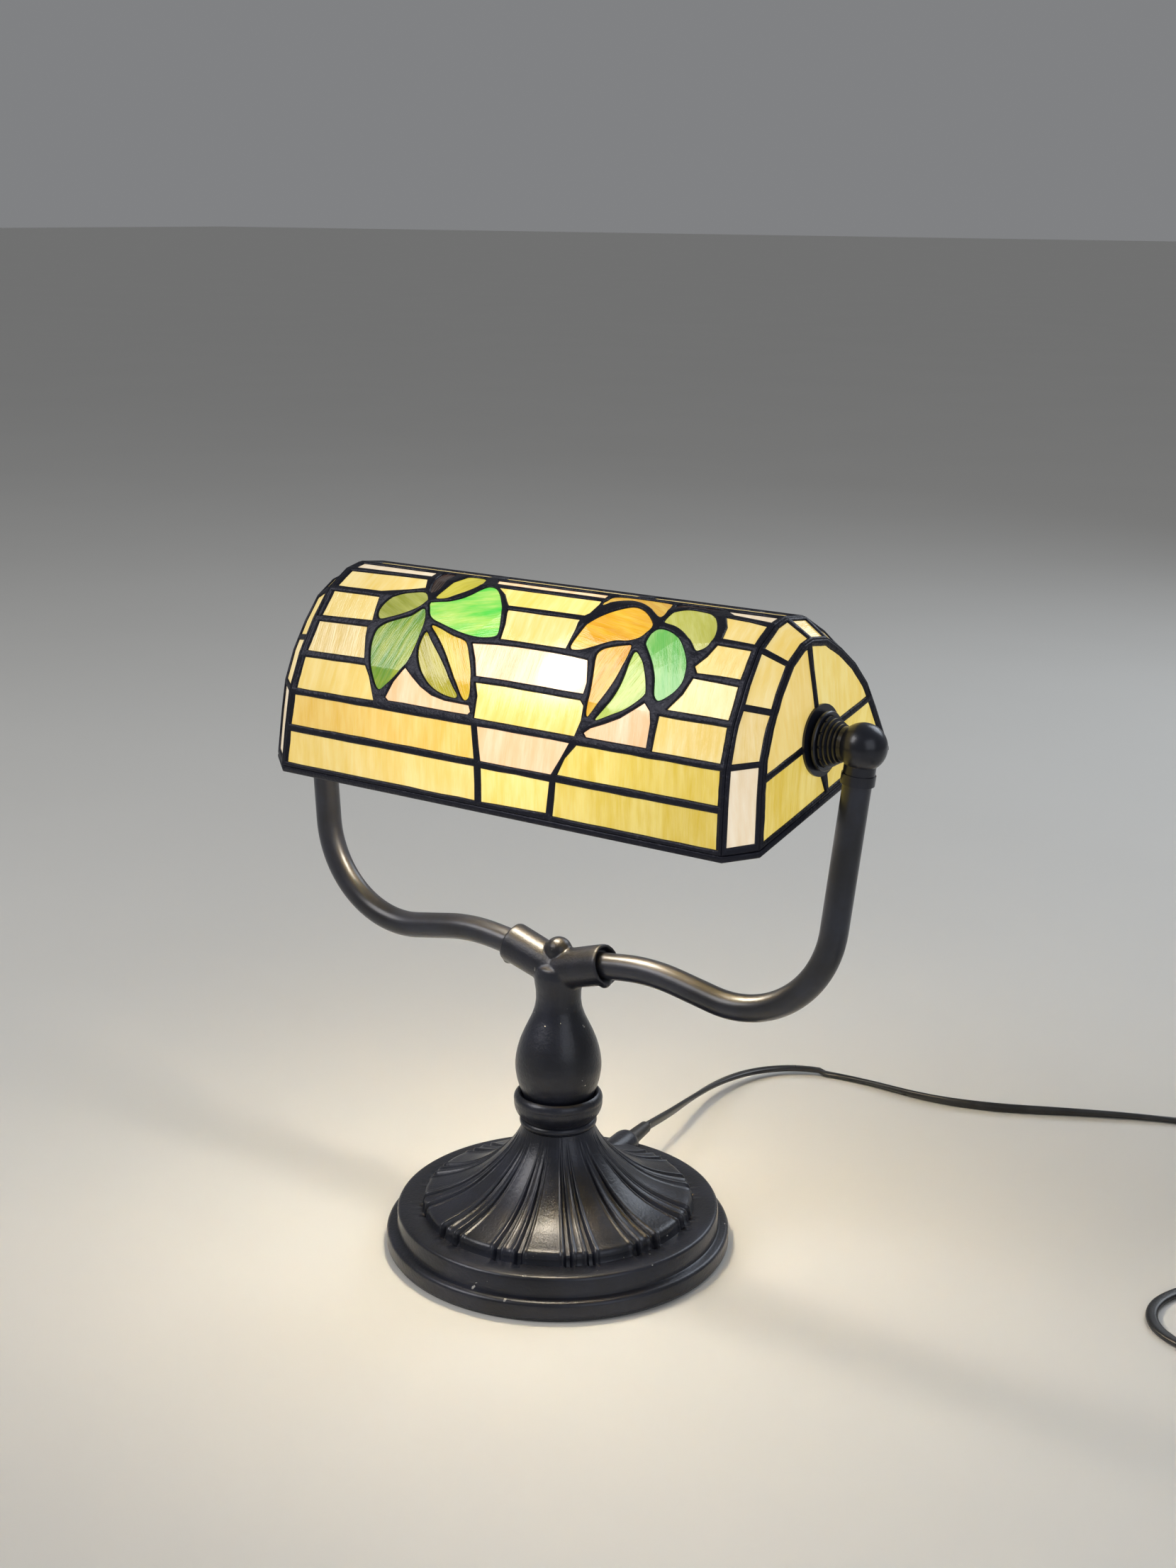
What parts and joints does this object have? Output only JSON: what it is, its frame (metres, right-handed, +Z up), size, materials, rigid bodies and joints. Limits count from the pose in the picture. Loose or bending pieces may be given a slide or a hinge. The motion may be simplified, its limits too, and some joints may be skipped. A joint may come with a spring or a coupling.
{
  "type": "stained-glass banker lamp",
  "caption": "Banker desk lamp: petalled iron base, vase stem, two tube arms and a tilting leaded-glass shade with leaf panels, clamp nuts, bulb, and a flex with switch and plug.",
  "frame": {"origin": "on the table at the centre of the round base, under the stem", "axes": "+Z up, X along the shade and its tilt axis, the leaf side of the shade faces -Y, the lead leaves the base at +Y"},
  "size_m": [0.572, 0.4091, 0.3097],
  "materials": {
    "iron": "satin near-black lacquer on iron",
    "ballast": "raw cast iron",
    "black_steel": "satin near-black lacquer on steel",
    "plain_steel": "zinc plated",
    "felt": "black felt",
    "solder": "dark patinated solder",
    "front_glass": "cream opalescent stained glass with green and amber leaves",
    "field_glass": "cream opalescent stained glass",
    "band_glass": "pearly white and cream stained glass",
    "bulb_glass": "frosted",
    "bulb_metal": "bright",
    "filament": "phosphor",
    "holder_plastic": "black phenolic",
    "brass": "plain",
    "lead_sheath": "glossy black PVC",
    "black_plastic": "fine matte"
  },
  "bodies": {
    "base": {"felt_pad": "felt", "base_cover": "plain_steel", "cover_screws": "plain_steel", "base_weight": "ballast", "base_casting": "iron", "rod_nut": "plain_steel", "rod_washer": "plain_steel", "stem_rod": "plain_steel", "outlet_bush": "black_plastic", "neck_ring": "iron", "stem_casting": "iron", "arm_left": "black_steel", "arm_right": "black_steel", "elbow_left": "black_steel", "elbow_right": "black_steel", "pivot_pipe_left": "plain_steel", "pivot_pipe_right": "plain_steel", "outer_washer_left": "black_steel", "outer_washer_right": "black_steel", "inner_washers": "plain_steel", "inner_nuts": "brass", "holder_cap": "holder_plastic", "holder_shell": "holder_plastic", "holder_insulator": "holder_plastic", "holder_contacts": "brass", "holder_thread": "brass", "bulb_cap": "bulb_metal", "bulb_glass": "bulb_glass", "bulb_stem": "bulb_glass", "bulb_filaments": "filament", "lead_run": "lead_sheath", "lead_tail": "lead_sheath", "lead_coil": "lead_sheath", "coil_tie": "black_plastic", "switch_base": "black_plastic", "switch_cover": "black_plastic", "plug_body": "black_plastic", "plug_pins": "brass"},
    "shade": {"solder_lattice": "solder", "shade_rim": "solder", "glass_front": "front_glass", "glass_crown": "field_glass", "glass_back": "field_glass", "glass_bevel_left": "band_glass", "glass_bevel_right": "band_glass", "glass_end_left": "field_glass", "glass_end_right": "field_glass", "pivot_plate_left": "black_steel", "pivot_plate_right": "black_steel", "inner_plates": "black_steel"},
    "left_hand_nut": {"clamp_nut_left": "black_steel"},
    "right_hand_nut": {"clamp_nut_right": "black_steel"},
    "rocker": {"switch_rocker": "black_plastic"}
  },
  "joints": [
    {"name": "shade_tilt", "type": "hinge", "parent": "base", "child": "shade", "pos_m": [0, 0.005, 0.2595], "axis": [1, 0, 0], "range_deg": [-45, 40]},
    {"name": "left_nut_turn", "type": "hinge", "parent": "base", "child": "left_hand_nut", "pos_m": [-0.135, 0.005, 0.2595], "axis": [1, 0, 0], "continuous": true},
    {"name": "right_nut_turn", "type": "hinge", "parent": "base", "child": "right_hand_nut", "pos_m": [0.135, 0.005, 0.2595], "axis": [1, 0, 0], "continuous": true},
    {"name": "rocker_press", "type": "hinge", "parent": "base", "child": "rocker", "pos_m": [0.292, 0.216, 0.0113], "axis": [0.9994, -0.0333, 0], "range_deg": [-10, 10]}
  ]
}
